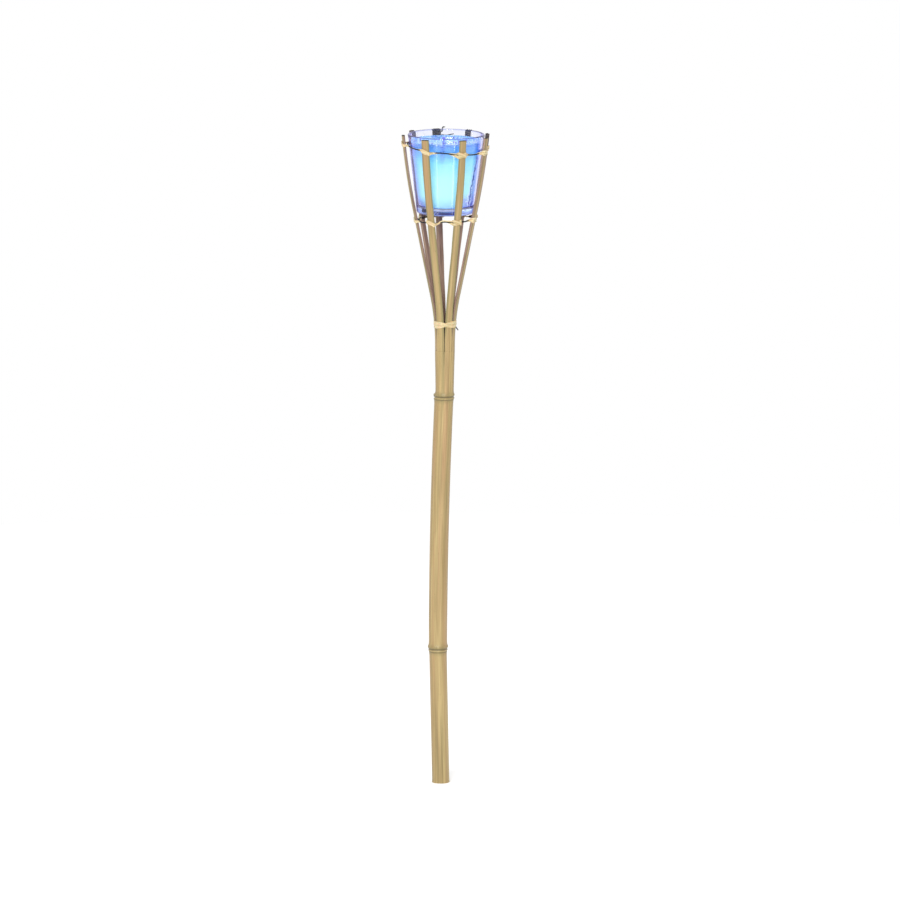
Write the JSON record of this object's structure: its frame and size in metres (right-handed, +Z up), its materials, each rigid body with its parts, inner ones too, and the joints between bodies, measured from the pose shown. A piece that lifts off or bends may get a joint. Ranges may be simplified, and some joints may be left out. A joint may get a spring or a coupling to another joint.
{
  "type": "garden torch",
  "caption": "Bamboo garden torch: a cane split at its top into a woven basket of splints that holds a tapered glass of blue candle gel, which lifts out.",
  "frame": {"origin": "on the cane's axis at the ground line, where the planted cane leaves the ground", "axes": "+Z up along the cane, -Y towards the front, +X to the right as seen from the front"},
  "size_m": [0.0878, 0.0864, 0.8481],
  "materials": {
    "bamboo_culm": "waxy natural culm, satin",
    "bamboo_splint": "split culm, satin rind and raw fibrous sides",
    "raffia": "natural raffia strip",
    "dark_twine": "waxed two-ply twine",
    "tumbler_glass": "clear pressed soda-lime glass",
    "candle_gel": "blue translucent candle gel",
    "wick_cotton": "braided cotton soaked in gel",
    "sustainer_tin": "tinned sheet"
  },
  "bodies": {
    "torch": {"bamboo_cane": "bamboo_culm", "splint_front_right": "bamboo_splint", "splint_right_front": "bamboo_splint", "splint_right_back": "bamboo_splint", "splint_back_right": "bamboo_splint", "splint_back_left": "bamboo_splint", "splint_left_back": "bamboo_splint", "splint_left_side": "bamboo_splint", "splint_front_left": "bamboo_splint", "collar_binding": "raffia", "collar_twine_end": "dark_twine", "upper_ring_twine": "dark_twine", "lower_ring_twine": "dark_twine", "upper_ring_raffia": "raffia", "lower_ring_raffia": "raffia", "knot_turns": "dark_twine", "knot_curl": "dark_twine", "knot_tail": "dark_twine"},
    "candle": {"glass_tumbler": "tumbler_glass", "candle_gel": "candle_gel", "wick": "wick_cotton", "wick_sustainer": "sustainer_tin"}
  },
  "joints": [
    {"name": "candle_lift", "type": "slide", "parent": "torch", "child": "candle", "axis": [0.0059, 0, 1], "range_m": [0, 0.09]}
  ]
}
